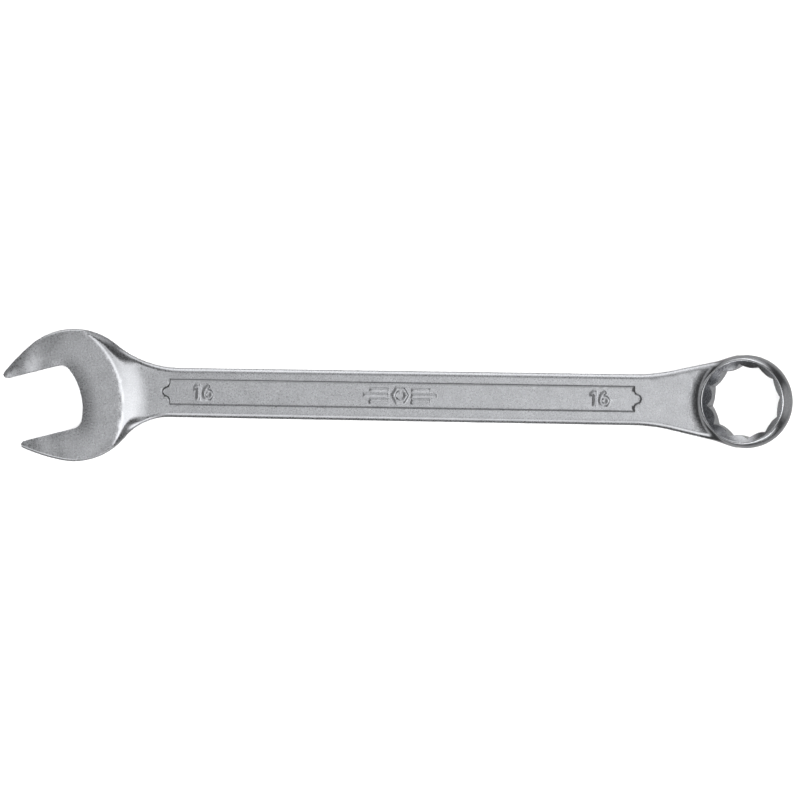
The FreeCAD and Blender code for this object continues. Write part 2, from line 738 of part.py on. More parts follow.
def add_panel(body):
    """The sunk panel with an ogee brace at each end."""
    half = size("panel_width") / 2
    left = size("panel_left")
    right = size("panel_right")
    reach = size("brace_reach")
    tip = size("brace_tip")
    shoulder = size("brace_shoulder")
    shift = {"y": "panel_offset", "z": "shank_thickness / 2"}
    profile = Profile(body, "PanelOutline", "XY_Plane", shift)

    def brace(x, side):
        # drawn counter-clockwise: up the right end and down the left one
        tip_centre = (x + side * (reach - tip), 0.0)
        lean = math.sqrt((tip + shoulder) ** 2 - (shoulder + tip - reach) ** 2)
        low = (x + side * shoulder, -side * lean)
        high = (x + side * shoulder, side * lean)
        corner_low, corner_high = (x, -side * half), (x, side * half)
        low_start, high_end = (x, low[1]), (x, high[1])
        low_touch = toward(low, tip_centre, shoulder)
        high_touch = toward(high, tip_centre, shoulder)
        return [
            profile.line(corner_low, low_start),
            profile.arc(low, low_start, low_touch, clockwise=True),
            profile.arc(tip_centre, low_touch, high_touch),
            profile.arc(high, high_touch, high_end, clockwise=True),
            profile.line(high_end, corner_high),
        ]

    ends = {1: brace(right, 1), -1: brace(left, -1)}
    top = profile.line((right, half), (left, half))
    bottom = profile.line((left, -half), (right, -half))
    for side, name in ((1, "right"), (-1, "left")):
        low, low_arc, tip_arc, high_arc, high = ends[side]
        profile.join(low, low_arc, tip_arc, high_arc, high, smooth=True)
        profile.rule("Vertical", low.index)
        profile.rule("PointOnObject", tip_arc.index, CENTRE, X_AXIS)
        profile.bound("Radius", name + "_tip", "brace_tip", tip_arc.index)
        profile.bound("Radius", name + "_low", "brace_shoulder", low_arc.index)
        profile.bound("Radius", name + "_high", "brace_shoulder", high_arc.index)
        profile.bound("DistanceX", name + "_reach",
                      f"panel_{name} + {side} * (brace_reach - brace_tip)",
                      *ORIGIN_POINT, tip_arc.index, CENTRE)
        profile.rule("Vertical", high.index)
        profile.place(name + "_low_corner", "panel_" + name, f"{-side} * panel_width / 2",
                      low.index, low.start)
        profile.place(name + "_high_corner", "panel_" + name, f"{side} * panel_width / 2",
                      high.index, high.end)
    profile.join(ends[1][-1], top, ends[-1][0])
    profile.join(ends[-1][-1], bottom, ends[1][0])
    return add_pocket(body, "Panel", profile, "panel_depth")


MARK_SHIFT = {"y": "panel_offset", "z": "shank_thickness / 2 - panel_depth"}


def add_numeral(body, name, centre):
    """The size number, 16, standing up from the floor of the panel."""
    half = size("mark_height") / 2
    stroke = size("mark_stroke")
    bowl = size("six_bowl")
    stem = size("six_stem")
    shift = dict(MARK_SHIFT, x=centre)

    profile = Profile(body, name + "Digits", "XY_Plane", shift)
    right = "one_x + mark_stroke / 2"
    left = "one_x - mark_stroke / 2"
    flag = "one_x - 1.5 * mark_stroke"
    texts = [
        (right, "-mark_height / 2"),
        (right, "mark_height / 2"),
        (left, "mark_height / 2"),
        (flag, "mark_height / 2 - mark_stroke"),
        (flag, "mark_height / 2 - 2 * mark_stroke"),
        (left, "mark_height / 2 - 1.3 * mark_stroke"),
        (left, "-mark_height / 2"),
    ]
    add_polygon(profile, "one", texts)
    bowl_centre = (size("six_x"), bowl - half)
    outer = profile.circle(bowl_centre, bowl)
    inner = profile.circle(bowl_centre, bowl - stroke)
    profile.place("bowl", "six_x", "six_bowl - mark_height / 2", outer.index, CENTRE)
    profile.rule("Coincident", inner.index, CENTRE, outer.index, CENTRE)
    profile.bound("Radius", "bowl", "six_bowl", outer.index)
    profile.bound("Radius", "bowl_hole", "six_bowl - mark_stroke", inner.index)
    digits = add_pad(body, name, profile, "mark_relief")

    stem_profile = Profile(body, name + "StemOutline", "XY_Plane", shift)
    stem_centre = (bowl_centre[0] - bowl + stem, bowl_centre[1])
    end = size("six_end")
    outer_start, outer_end = polar(stem_centre, stem, 180), polar(stem_centre, stem, end)
    inner_start = polar(stem_centre, stem - stroke, end)
    inner_end = polar(stem_centre, stem - stroke, 180)
    back = stem_profile.arc(stem_centre, outer_start, outer_end, clockwise=True)
    tip = stem_profile.line(outer_end, inner_start)
    front = stem_profile.arc(stem_centre, inner_start, inner_end)
    foot = stem_profile.line(inner_end, outer_start)
    stem_profile.join(back, tip, front, foot, back)
    stem_profile.rule("Coincident", back.index, CENTRE, front.index, CENTRE)
    stem_profile.rule("Horizontal", foot.index)
    stem_profile.place("stem", "six_x - six_bowl + six_stem", "six_bowl - mark_height / 2",
                       back.index, CENTRE)
    stem_profile.bound("Radius", "stem", "six_stem", back.index)
    stem_profile.bound("Radius", "stem_inner", "six_stem - mark_stroke", front.index)
    stem_profile.bound("Angle", "tip", "six_end - 180", tip.index)
    stem_profile.rule("PointOnObject", back.index, CENTRE, tip.index)
    stem_profile.rule("PointOnObject", back.index, CENTRE, foot.index)
    return [digits, add_pad(body, name + "Stem", stem_profile, "mark_relief")]


def add_polygon(profile, name, texts):
    """Join a ring of corners whose places are expressions."""
    corners = [(value_of(across), value_of(along)) for across, along in texts]
    sides = [profile.line(a, b) for a, b in zip(corners, corners[1:] + corners[:1])]
    profile.join(*sides, sides[0])
    for number, (line, (across, along)) in enumerate(zip(sides, texts)):
        profile.place(f"{name}_{number}", across, along, line.index, line.start)


def add_ornament(body):
    """A plain emblem, the outline of a nut between two sets of bars."""
    profile = Profile(body, "OrnamentOutline", "XY_Plane", MARK_SHIFT)
    hexagon = [
        (f"nut_radius * cos({60 * k}deg)", f"nut_radius * sin({60 * k}deg)") for k in range(6)
    ]
    add_polygon(profile, "nut", hexagon)
    hole = profile.circle((0.0, 0.0), size("nut_hole"))
    profile.rule("Coincident", hole.index, CENTRE, *ORIGIN_POINT)
    profile.bound("Radius", "nut_hole", "nut_hole", hole.index)
    for side in (1, -1):
        for row, length in ((1, "short_bar"), (0, "long_bar"), (-1, "short_bar")):
            near = f"{side} * bar_start"
            far = f"{side} * (bar_start + {length})"
            low = f"{row} * bar_pitch - bar_height / 2"
            high = f"{row} * bar_pitch + bar_height / 2"
            corners = [(near, low), (far, low), (far, high), (near, high)]
            name = f"bar_{'right' if side > 0 else 'left'}_{row + 1}"
            add_polygon(profile, name, corners)
    return add_pad(body, "Ornament", profile, "mark_relief")


def repeat_below(body, features):
    """Carry the panel and its numerals round to the underside of the shank."""
    axes = {item.Role: item for item in body.Origin.OriginFeatures}
    pattern = body.newObject("PartDesign::PolarPattern", "BothFaces")
    pattern.Originals = features
    pattern.Axis = (axes["X_Axis"], [""])
    pattern.Angle = 360
    pattern.Occurrences = 2
    body.Tip = pattern
    return pattern


def build_wrench():
    body = doc.addObject("PartDesign::Body", "wrench_body")
    body.Label = "wrench_body"
    add_blank(body)
    add_face_relief(body, "UpperRelief", 1)
    add_face_relief(body, "LowerRelief", -1)
    add_collar(body)
    add_flare_underside(body)
    round_forging(body)
    add_jaw(body)
    break_jaw_edges(body)
    add_ring(body)
    add_lead_in(body, "UpperLeadIn", 1)
    add_lead_in(body, "LowerLeadIn", -1)
    add_bore(body)
    round_ring(body)
    marks = [add_panel(body)]
    marks += add_numeral(body, "NumeralOpenEnd", "numeral_left")
    marks += add_numeral(body, "NumeralRingEnd", "numeral_right")
    repeat_below(body, marks)
    add_ornament(body)
    return body


def check_document():
    """Stop if any object failed to recompute."""
    for item in doc.Objects:
        if {"Invalid", "Error"} & set(item.State):
            raise RuntimeError(f"{item.Name} failed to recompute: {item.State}")


def lay_on_bench(body):
    """Lay the tool as it rests on a bench, on its open end and the ring's lower rim.

    The origin goes under the middle of the box, on the bench.
    """
    box = body.Shape.optimalBoundingBox(True, False)
    tilt = math.radians(size("ring_tilt"))
    rim_x = (size("ring_x") - size("rim_radius") * math.cos(tilt)
             + size("ring_thickness") / 2 * math.sin(tilt))
    drop = -size("head_thickness") / 2 - box.ZMin
    lean = math.degrees(math.atan2(drop, rim_x - box.XMin))
    turn = Placement(Vector(), Rotation(Vector(0, 1, 0), -lean))
    box = body.Shape.transformed(turn.toMatrix(), copy=True).optimalBoundingBox(True, False)
    turn.Base = Vector(-box.Center.x, -box.Center.y, -box.ZMin)
    body.Placement = turn
    print("leans", round(lean, 4), "degrees, moved by", turn.Base)


def export(bodies):
    os.makedirs("parts", exist_ok=True)
    for body in bodies:
        shape = body.Shape
        if shape.isNull() or not shape.isValid() or len(shape.Solids) != 1:
            raise RuntimeError(f"{body.Label} isn't one valid solid")
        shape.exportStep(f"parts/{body.Label}.step")
        print(body.Label, "volume", round(shape.Volume, 1), "faces", len(shape.Faces))


wrench = build_wrench()
doc.recompute()
check_document()
lay_on_bench(wrench)
doc.recompute()
check_document()
export([wrench])
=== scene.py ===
import json
import math

import bpy
import numpy as np
import openvdb
from mathutils import Matrix, Vector


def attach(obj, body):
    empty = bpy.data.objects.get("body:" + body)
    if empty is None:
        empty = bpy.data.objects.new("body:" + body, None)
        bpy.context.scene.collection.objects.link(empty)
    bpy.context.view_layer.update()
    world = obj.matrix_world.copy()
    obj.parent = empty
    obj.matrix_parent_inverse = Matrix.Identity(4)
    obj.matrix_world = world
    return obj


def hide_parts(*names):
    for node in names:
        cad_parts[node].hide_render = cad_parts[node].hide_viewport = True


# A combination wrench for 16 mm hexagons, forged in one piece and chrome plated.
# The forging is measured in millimetres in its own axes: X along the shank towards
# the ring, Y across it, Z up through the marked face, from the middle of the shank.
# FORGING_TO_ROW takes those axes to the row's frame, in metres.

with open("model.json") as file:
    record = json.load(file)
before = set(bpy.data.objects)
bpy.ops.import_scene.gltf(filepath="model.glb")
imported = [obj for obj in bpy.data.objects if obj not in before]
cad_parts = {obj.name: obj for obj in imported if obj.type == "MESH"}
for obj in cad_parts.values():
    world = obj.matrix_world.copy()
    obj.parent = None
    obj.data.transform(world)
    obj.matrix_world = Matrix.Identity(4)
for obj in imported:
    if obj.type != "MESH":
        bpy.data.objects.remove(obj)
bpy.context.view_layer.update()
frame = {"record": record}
MOUNTS = {mount["name"]: mount for mount in frame["record"]["mounts"]}

METRE = 0.001
# further away than anything on the tool, in millimetres
FAR = 1e6
# what stands for the jaw's distance where it isn't worked out
OFF_HEAD = 1e3

# ---------------------------------------------------------------- sizes, in millimetres

ACROSS_FLATS = 16.0
JAW_CLEARANCE = 0.1
JAW_CHAMFER = 0.2
BORE_CLEARANCE = 0.04

HEAD = (-81.24, -1.03)
JAW_ANGLE = 15.0
HEAD_RADIUS = 16.5
HEAD_HALF = 4.0
HORN_RADIUS = 50.0
NOSE_REACH = 25.14
TIP_REACH = 15.7
TIP_RADIUS = 1.0
TIP_EXIT = 53.0
THROAT_DEPTH = 1.87
THROAT_RADIUS = 16.0
THROAT_CORNER = 2.7
FACE_OFFSET = 10.6
FACE_RADIUS = 22.6
COVE_WIDTH = 6.4

NECK_RADIUS = {1: 25.0, -1: 14.0}
HALF_OPEN_END = 6.15
HALF_RING_END = 6.35
SHANK_HALF = 3.0
DRAFT = math.radians(4.0)
FLARE_START = 58.0
FLARE_RADIUS = 43.8
FLARE_INSET = 0.3
UNDER_START = 61.0
UNDER_BEND = 30.0
UNDER_SLOPE = math.radians(8.0)
UNDER_MARGIN = 0.4

RING = (86.15, 0.0, 2.0)
RING_TILT = math.radians(15.0)
RING_HALF = 4.5
RIM_RADIUS = 10.6
BARREL_RADIUS = 11.6
LEAD_IN_RADIUS = 10.2
LEAD_IN_SLOPE = math.radians(58.0)
LOBES = 12
LOBE_RADIUS = 5.0
LOBE_PHASE = math.radians(7.3)
COLLAR_RADIUS = 14.2
COLLAR_RISE = 0.35

PANEL_OFFSET = 0.2
PANEL_HALF = 3.1
PANEL_ENDS = {1: 58.2, -1: -57.3}
PANEL_DEPTH = 0.3
BRACE_REACH = 1.75
BRACE_TIP = 1.1
BRACE_SHOULDER = 1.3
MARK_HEIGHT = 3.8
MARK_RELIEF = 0.25
MARK_STROKE = 0.7
NUMERALS = (-48.8, 49.8)
ONE_X = -1.4
# the flag of the 1, in strokes
FLAG_REACH = 1.5
FLAG_FALL = 1.3
SIX_X = 1.0
SIX_BOWL = 1.3
SIX_STEM = 2.9
SIX_END = 120.0
NUT_RADIUS = 2.1
NUT_HOLE = 1.1
BAR_START = 3.0
BAR_HEIGHT = 0.7
BAR_PITCH = 1.3
LONG_BAR = 6.0
SHORT_BAR = 4.4

# what the forging and the plating do to the drawn edges
SHANK_ROUNDING = 1.2
HEAD_ROUNDING = 0.45
RIM_ROUNDING = 0.25
COLLAR_BLEND = 1.1
WALL_SPREAD = 0.22
WALL_SOFTNESS = 0.3
MARK_SPREAD = 0.28
FACE_EDGE = 0.16
COLLAR_EDGE = 0.05
CROWN = 0.12
FACE_ROLL = 0.22
FACE_ROLL_WIDTH = 4.0
RIPPLE = 0.055
RIPPLES = 8
RIPPLE_TURN = math.radians(79.0)
RIPPLE_START = 2.0
RIPPLE_RUN = 6.0
WEDGE_ROUNDING = 1.9
# makes share * (1 - share)**2 peak at 1
WEDGE_PEAK = 6.75
# how far a cove's arc is followed, in widths of the cove
COVE_OVERRUN = 1.3

# ---------------------------------------------------------------- where the forging lies


def forging_to_row():
    """The turn and the shift that lay the forging on the bench, from two of its mounts."""
    face = MOUNTS["head_underside"]["axis"]
    lean = Matrix.Rotation(-math.atan2(face[0], -face[2]), 4, "Y")
    ring = Vector(MOUNTS["ring_socket"]["pos_m"])
    shift = ring - lean @ (Vector(RING) * METRE)
    return Matrix.Translation(shift) @ lean @ Matrix.Scale(METRE, 4)


FORGING_TO_ROW = forging_to_row()

# ---------------------------------------------------------------- plane outlines

# the turn of each chord, about, where an arc stands as chords to test what is inside
CHORD = math.radians(4)


def polar(centre, radius, degrees):
    turn = math.radians(degrees)
    return (centre[0] + radius * math.cos(turn), centre[1] + radius * math.sin(turn))


def toward(start, end, distance):
    share = distance / math.dist(start, end)
    return tuple(a + share * (b - a) for a, b in zip(start, end))


class Outline:
    """A closed chain of lines and arcs, which knows how far any point is from it."""

    def __init__(self, start):
        self.at = start
        self.edges = []
        self.corners = []

    def line(self, end):
        self.edges.append((self.at, end, None))
        self.corners.append(self.at)
        self.at = end
        return self

    def arc(self, centre, end, clockwise=False):
        start = self.at
        first = math.atan2(start[1] - centre[1], start[0] - centre[0])
        last = math.atan2(end[1] - centre[1], end[0] - centre[0])
        sweep = (first - last if clockwise else last - first) % math.tau
        radius = math.dist(centre, start)
        sign = -1 if clockwise else 1
        middle = first + sign * sweep / 2
        self.edges.append((start, end, (centre, radius, middle, sweep / 2)))
        steps = max(2, int(sweep / CHORD))
        for k in range(steps):
            turn = first + sign * sweep * k / steps
            self.corners.append((centre[0] + radius * math.cos(turn),
                                 centre[1] + radius * math.sin(turn)))
        self.at = end
        return self

    def inside(self, x, y):
        crossed = np.zeros(x.shape, bool)
        for (ax, ay), (bx, by) in zip(self.corners, self.corners[1:] + self.corners[:1]):
            if ay == by:
                continue
            spans = (y < ay) != (y < by)
            crossed ^= spans & (x < ax + (y - ay) * (bx - ax) / (by - ay))
        return crossed

    def distance(self, x, y):
        """Signed distance, negative inside."""
        nearest = np.full(x.shape, FAR, x.dtype)
        for start, end, bend in self.edges:
            if bend is None:
                run = (end[0] - start[0], end[1] - start[1])
                length2 = run[0] ** 2 + run[1] ** 2
                share = ((x - start[0]) * run[0] + (y - start[1]) * run[1]) / length2
                share = np.clip(share, 0, 1)
                gap = np.hypot(x - start[0] - share * run[0], y - start[1] - share * run[1])
            else:
                centre, radius, middle, half = bend
                px, py = x - centre[0], y - centre[1]
                along = px * math.cos(middle) + py * math.sin(middle)
                across = np.abs(py * math.cos(middle) - px * math.sin(middle))
                facing = along * math.sin(half) >= across * math.cos(half)
                if half > math.pi / 2:
                    facing = along * math.sin(half) - across * math.cos(half) >= 0
                on_arc = np.abs(np.hypot(px, py) - radius)
                tips = np.hypot(along - radius * math.cos(half), across - radius * math.sin(half))
                gap = np.where(facing, on_arc, tips)
            nearest = np.minimum(nearest, gap)
        return np.where(self.inside(x, y), -nearest, nearest)


def blank_outline():
    """The forging's outline seen from above, without the ring."""
    inset = HORN_RADIUS - HEAD_RADIUS
    along = (HORN_RADIUS**2 - inset**2 - NOSE_REACH**2) / (2 * NOSE_REACH)
    horn_turn = math.degrees(math.acos(along / inset))
    barrel = BARREL_RADIUS - FLARE_INSET
    ring = RING[:2]

    def side_points(side):
        flare = (FLARE_START, side * (HALF_RING_END + FLARE_RADIUS))
        gap = math.dist(flare, ring)
        lean = math.degrees(math.acos((FLARE_RADIUS + barrel) / gap))
        sight = math.degrees(math.atan2(ring[1] - flare[1], ring[0] - flare[0]))
        turn = sight - side * lean
        neck_radius = NECK_RADIUS[side]
        rise = side * (HALF_OPEN_END + neck_radius) - HEAD[1]
        run = math.sqrt((HEAD_RADIUS + neck_radius) ** 2 - rise**2)
        neck = (HEAD[0] + run, side * (HALF_OPEN_END + neck_radius))
        horn = polar(HEAD, inset, JAW_ANGLE - side * horn_turn)
        return {
            "touch": polar(ring, barrel, turn + 180),
            "bend": polar(flare, FLARE_RADIUS, turn),
            "flare": flare,
            "shank": (FLARE_START, side * HALF_RING_END),
            "open": (neck[0], side * HALF_OPEN_END),
            "neck": neck,
            "head": toward(HEAD, neck, HEAD_RADIUS),
            "horn": horn,
            "horn_start": toward(horn, HEAD, HORN_RADIUS),
        }

    top, low = side_points(1), side_points(-1)
    nose = polar(HEAD, NOSE_REACH, JAW_ANGLE + 180)
    shape = Outline(top["touch"])
    shape.line(top["bend"]).arc(top["flare"], top["shank"], clockwise=True)
    shape.line(top["open"]).arc(top["neck"], top["head"], clockwise=True)
    shape.arc(HEAD, top["horn_start"]).arc(top["horn"], nose)
    shape.arc(low["horn"], low["horn_start"]).arc(HEAD, low["head"])
    shape.arc(low["neck"], low["open"], clockwise=True).line(low["shank"])
    shape.arc(low["flare"], low["bend"], clockwise=True).line(low["touch"])
    return shape.line(top["touch"])


def jaw_outline():
    """The open jaw in the head's own axes, its mouth towards minus X."""
    half = (ACROSS_FLATS + JAW_CLEARANCE) / 2
    throat = (THROAT_DEPTH - THROAT_RADIUS, 0.0)
    corner_y = half - THROAT_CORNER
    corner_x = throat[0] + math.sqrt((THROAT_RADIUS - THROAT_CORNER) ** 2 - corner_y**2)
    tip_x = TIP_RADIUS - TIP_REACH
    mouth = -NOSE_REACH - THROAT_CORNER

    def side_points(side):
        corner = (corner_x, side * corner_y)
        tip = (tip_x, side * (half + TIP_RADIUS))
        leave = side * (180 - TIP_EXIT)
        return {
            "corner": corner,
            "corner_end": toward(throat, corner, THROAT_RADIUS),
            "flat_start": (corner_x, side * half),
            "flat_end": (tip_x, side * half),
            "tip": tip,
            "tip_end": polar(tip, TIP_RADIUS, leave),
            "exit": polar(tip, 2 * TIP_RADIUS, leave),
        }

    top, low = side_points(1), side_points(-1)
    shape = Outline(low["corner_end"])
    shape.arc(throat, top["corner_end"]).arc(top["corner"], top["flat_start"])
    shape.line(top["flat_end"]).arc(top["tip"], top["tip_end"], clockwise=True)
    shape.line(top["exit"]).line((mouth, top["exit"][1])).line((mouth, low["exit"][1]))
    shape.line(low["exit"]).line(low["tip_end"])
    shape.arc(low["tip"], low["flat_end"], clockwise=True).line(low["flat_start"])
    return shape.arc(low["corner"], low["corner_end"])


def panel_outline():
    """The sunk panel, with an ogee brace at each end."""
    lean = math.sqrt((BRACE_TIP + BRACE_SHOULDER) ** 2
                     - (BRACE_SHOULDER + BRACE_TIP - BRACE_REACH) ** 2)

    def brace(shape, side):
        x = PANEL_ENDS[side]
        tip = (x + side * (BRACE_REACH - BRACE_TIP), 0.0)
        low = (x + side * BRACE_SHOULDER, -side * lean)
        high = (x + side * BRACE_SHOULDER, side * lean)
        shape.line((x, low[1])).arc(low, toward(low, tip, BRACE_SHOULDER), clockwise=True)
        shape.arc(tip, toward(high, tip, BRACE_SHOULDER))
        shape.arc(high, (x, high[1]), clockwise=True).line((x, side * PANEL_HALF))

    shape = Outline((PANEL_ENDS[1], -PANEL_HALF))
    brace(shape, 1)
    shape.line((PANEL_ENDS[-1], PANEL_HALF))
    brace(shape, -1)
    return shape.line((PANEL_ENDS[1], -PANEL_HALF))


def polygon(points):
    shape = Outline(points[0])
    for point in points[1:] + points[:1]:
        shape.line(point)
    return shape


def one_outline():
    right, left = ONE_X + MARK_STROKE / 2, ONE_X - MARK_STROKE / 2
    flag = ONE_X - FLAG_REACH * MARK_STROKE
    half = MARK_HEIGHT / 2
    return polygon([(right, -half), (right, half), (left, half), (flag, half - MARK_STROKE),
                    (flag, half - 2 * MARK_STROKE), (left, half - FLAG_FALL * MARK_STROKE),
                    (left, -half)])


def six_distance(x, y):
    """A round bowl with a curved stem rising from its left side."""
    bowl_y = SIX_BOWL - MARK_HEIGHT / 2
    half = MARK_STROKE / 2
    bowl = np.abs(np.hypot(x - SIX_X, y - bowl_y) - SIX_BOWL + half) - half
    stem_x = SIX_X - SIX_BOWL + SIX_STEM
    px, py = x - stem_x, y - bowl_y
    end = math.radians(SIX_END)
    stem = np.abs(np.hypot(px, py) - SIX_STEM + half) - half
    stem = np.maximum(stem, np.maximum(-py, px * math.sin(end) - py * math.cos(end)))
    return np.minimum(bowl, stem)


def hexagon_distance(x, y):
    flat = NUT_RADIUS * math.cos(math.pi / 6)
    folds = [np.abs(x * math.sin(turn) + y * math.cos(turn))
             for turn in (0.0, math.pi / 3, -math.pi / 3)]
    return np.maximum.reduce(folds) - flat


def emblem_distance(x, y):
    """The outline of a nut between two sets of bars."""
    nut = np.maximum(hexagon_distance(x, y), NUT_HOLE - np.hypot(x, y))
    for row in (-1, 0, 1):
        length = SHORT_BAR if row else LONG_BAR
        across = np.abs(np.abs(x) - BAR_START - length / 2) - length / 2
        along = np.abs(y - row * BAR_PITCH) - BAR_HEIGHT / 2
        nut = np.minimum(nut, np.maximum(across, along))
    return nut


BLANK = blank_outline()
JAW = jaw_outline()
PANEL = panel_outline()
ONE = one_outline()

# ---------------------------------------------------------------- the forging as a solid


def step(distance, spread):
    """1 well inside an outline, 0 well outside it, with a soft wall between."""
    share = 0.5 - distance / spread
    return soft_least(soft_most(share, 0.0, WALL_SOFTNESS), 1.0, WALL_SOFTNESS)


def soft_least(a, b, blend):
    """The lesser of two heights, with the corner between them rounded."""
    return np.minimum(a, b) - np.maximum(blend - np.abs(a - b), 0) ** 2 / (4 * blend)


def soft_most(a, b, blend):
    return -soft_least(-a, -b, blend)


def common(a, b, radius):
    """Where two solids overlap, with the edge between them rounded."""
    round_part = np.hypot(np.maximum(a + radius, 0), np.maximum(b + radius, 0))
    return np.minimum(np.maximum(a, b), -radius) + round_part


def joined(a, b, radius):
    """Two solids together, with a fillet between them."""
    return -common(-a, -b, radius)


def hollow_arc(run, width, rise, edge):
    """Height of a cove that starts level at run 0 and meets a level at run = width."""
    radius = (width**2 + rise**2) / (2 * rise)
    run = np.clip(run, 0, COVE_OVERRUN * width)
    return soft_least(radius - np.sqrt(radius**2 - run**2), rise, edge)


def marks(x, y, with_emblem):
    """How far the raised marks stand above the panel's floor, from 0 to 1."""
    numerals = np.full(x.shape, FAR, x.dtype)
    for centre in NUMERALS:
        near = np.abs(x - centre) < MARK_HEIGHT
        px, py = x[near] - centre, y[near]
        numerals[near] = np.minimum(ONE.distance(px, py), six_distance(px, py))
    if with_emblem:
        numerals = np.minimum(numerals, emblem_distance(x, y))
    return step(numerals, MARK_SPREAD)


def face_waves(along, angle, depth, from_face):
    """How far the head's faces fall away from flat: at their edges, and in soft ripples."""
    roll = FACE_ROLL * np.clip(1 - depth / FACE_ROLL_WIDTH, 0, 1) ** 2
    ripple = RIPPLE * (1 + np.cos(RIPPLES * (angle - RIPPLE_TURN)))
    ripple *= np.clip((-along - RIPPLE_START) / RIPPLE_RUN, 0, 1)
    inside = np.clip((FACE_RADIUS - from_face) / FACE_ROLL_WIDTH, 0, 1)
    return (roll + ripple) * inside * inside * (3 - 2 * inside)


def plan(x, y):
    """What depends only on the place seen from above: outlines, levels and rounding."""
    outline = BLANK.distance(x, y)
    face_x, face_y = polar(HEAD, FACE_OFFSET, JAW_ANGLE + 180)
    from_face = np.hypot(x - face_x, y - face_y)
    rise = HEAD_HALF - SHANK_HALF
    cove = hollow_arc(FACE_RADIUS + COVE_WIDTH - from_face, COVE_WIDTH, rise, FACE_EDGE)
    level = SHANK_HALF + np.where(x < 0, cove, 0)

    # the bands beside the panel are slightly crowned
    on_shank = np.clip((from_face - FACE_RADIUS - COVE_WIDTH) / COVE_WIDTH, 0, 1)
    crown = CROWN * on_shank * (y / HALF_OPEN_END) ** 2
    crown *= np.clip((FLARE_START - x) / FLARE_START + 1, 0, 1)
    level = level - crown

    turn = math.radians(JAW_ANGLE)
    px, py = x - HEAD[0], y - HEAD[1]
    near_head = px < HEAD_RADIUS
    jaw = np.full(x.shape, OFF_HEAD, x.dtype)
    along = px * math.cos(turn) + py * math.sin(turn)
    across = py * math.cos(turn) - px * math.sin(turn)
    jaw[near_head] = JAW.distance(along[near_head], across[near_head])
    angle = np.arctan2(y - face_y, x - face_x)
    level = level - face_waves(px, angle, np.minimum(-outline, jaw), from_face)

    top_y, low_y = y - PANEL_OFFSET, -y - PANEL_OFFSET
    sunk_top = PANEL_DEPTH * step(PANEL.distance(x, top_y), WALL_SPREAD)
    sunk_low = PANEL_DEPTH * step(PANEL.distance(x, low_y), WALL_SPREAD)
    top = level - sunk_top + MARK_RELIEF * marks(x, top_y, True)
    low = level - sunk_low + MARK_RELIEF * marks(x, low_y, False)

    # the collar round the ring, and the flare's deeper underside
    from_ring = np.hypot(x - RING[0], y)
    run = COLLAR_RADIUS - BARREL_RADIUS
    top = top + hollow_arc(COLLAR_RADIUS - from_ring, run, COLLAR_RISE, COLLAR_EDGE)
    bend = np.clip(x - UNDER_START, 0, UNDER_BEND * math.sin(UNDER_SLOPE))
    descent = UNDER_BEND - np.sqrt(UNDER_BEND**2 - bend**2)
    past_bend = x - UNDER_START - UNDER_BEND * math.sin(UNDER_SLOPE)
    descent = descent + np.maximum(past_bend, 0) * math.tan(UNDER_SLOPE)
    back = RING[2] + (x - RING[0]) * math.tan(RING_TILT)
    back = back - (RING_HALF - UNDER_MARGIN) / math.cos(RING_TILT)
    low = np.minimum(low + descent, -back)

    share = np.clip((from_face - FACE_RADIUS) / COVE_WIDTH, 0, 1)
    rounding = HEAD_ROUNDING + (SHANK_ROUNDING - HEAD_ROUNDING) * share
    rounding = rounding + WEDGE_ROUNDING * WEDGE_PEAK * share * (1 - share) ** 2
    return outline, top, low, rounding, jaw


def ring_solid(x, y, z):
    """The barrel with its lead-in cones and its twelve lobes, about its tilted axis."""
    px, pz = x - RING[0], z - RING[2]
    height = pz * math.cos(RING_TILT) - px * math.sin(RING_TILT)
    across = px * math.cos(RING_TILT) + pz * math.sin(RING_TILT)
    radius = np.hypot(across, y)
    bulge = BARREL_RADIUS - RIM_RADIUS
    wall = (RING_HALF**2 + bulge**2) / (2 * bulge)
    barrel = np.hypot(radius - BARREL_RADIUS + wall, height) - wall
    solid = common(barrel, np.abs(height) - RING_HALF, RIM_ROUNDING)
    cone = np.abs(height) - RING_HALF + (LEAD_IN_RADIUS - radius) * math.tan(LEAD_IN_SLOPE)

    flats = (ACROSS_FLATS + BORE_CLEARANCE) / 2
    pitch = math.tau / LOBES
    out = (flats + LOBE_RADIUS) / math.cos(pitch / 2)
    fold = np.mod(np.arctan2(y, across) - LOBE_PHASE, pitch) - pitch / 2
    lobe = np.hypot(radius * np.cos(fold) - out, radius * np.sin(fold)) - LOBE_RADIUS
    bore = np.minimum(lobe, (RIM_RADIUS + LEAD_IN_RADIUS) / 2 - radius)
    return solid, cone * math.cos(LEAD_IN_SLOPE), bore


def solid(x, y, z, fields):
    """Signed distance of the whole forging, negative inside."""
    outline, top, low, rounding, jaw = fields
    wall = (outline + np.abs(z) * math.tan(DRAFT)) * math.cos(DRAFT)
    body = common(wall, np.maximum(z - top, -low - z), rounding)
    barrel, cone, bore = ring_solid(x, y, z)
    body = joined(body, barrel, COLLAR_BLEND)
    body = common(body, np.maximum(cone, bore), JAW_CHAMFER / 2)
    cut = np.maximum(-jaw, (JAW_CHAMFER - jaw + np.abs(z) - HEAD_HALF) / math.sqrt(2))
    return np.maximum(body, cut)


# ---------------------------------------------------------------- the mesh of the forging

PITCH = 0.2
ADAPTIVITY = 0.01
PLAIN_PITCH = 1.1
PLAIN_STRETCHES = ((-45.0, -11.0), (11.0, 46.0))
MARGIN = 1.0
HEIGHTS = (-7.0, 11.0)
NUDGE = 0.02
SNAPS = 3
WEAK_SLOPE2 = 0.25
# how wide the painted shade in the creases and the painted highlight on the ridges are, and how
# strong the weaker ones are
PAINTED_SHADE_WIDTH = 0.2
MARK_PAINTED_SHADE = 0.35
RIM_HIGHLIGHT_WIDTH = 0.4
ARC_HIGHLIGHT_WIDTH = 0.35
ARC_SHARE = 0.5


